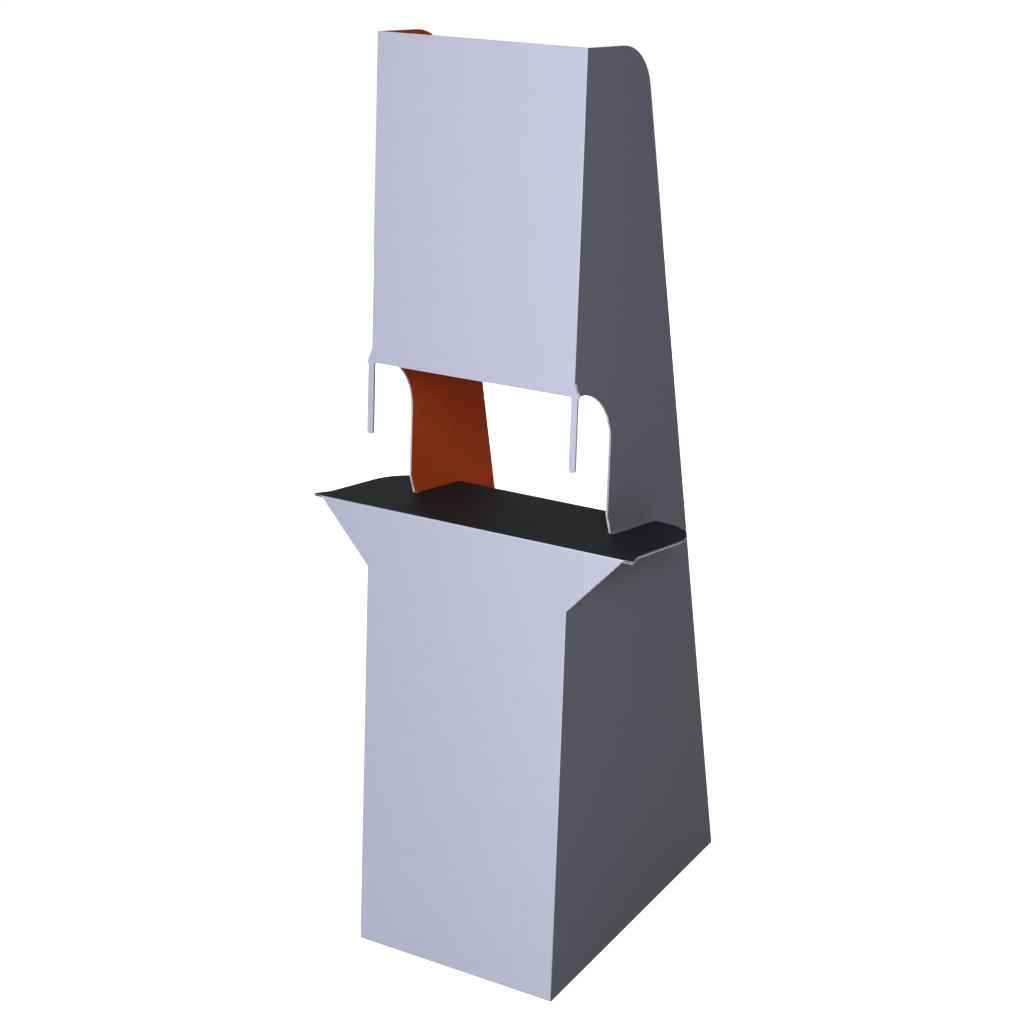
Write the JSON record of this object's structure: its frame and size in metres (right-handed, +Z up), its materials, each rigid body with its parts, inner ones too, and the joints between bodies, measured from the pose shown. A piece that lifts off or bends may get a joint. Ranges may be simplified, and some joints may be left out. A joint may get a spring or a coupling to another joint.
{
  "type": "easel-back display",
  "caption": "Floor-standing display folded from one sheet of corrugated board, with a leaning front and header, an open window, a drop-back shelf with side ears, and two easel wings.",
  "frame": {"origin": "middle of the bounding box's foot, on the surface that the display stands on", "axes": "+Z up; the printed front faces -Y and leans back by 15 degrees; +X to the right of someone who looks at the front"},
  "size_m": [0.607, 0.5242, 1.4088],
  "materials": {
    "printed_board": "uncoated flood print on corrugated board: pale lavender-grey front, charcoal wings, near-black shelf, and plain rust-brown liner on the inner faces"
  },
  "bodies": {
    "root": {"folded_sheet": "printed_board"}
  },
  "joints": []
}
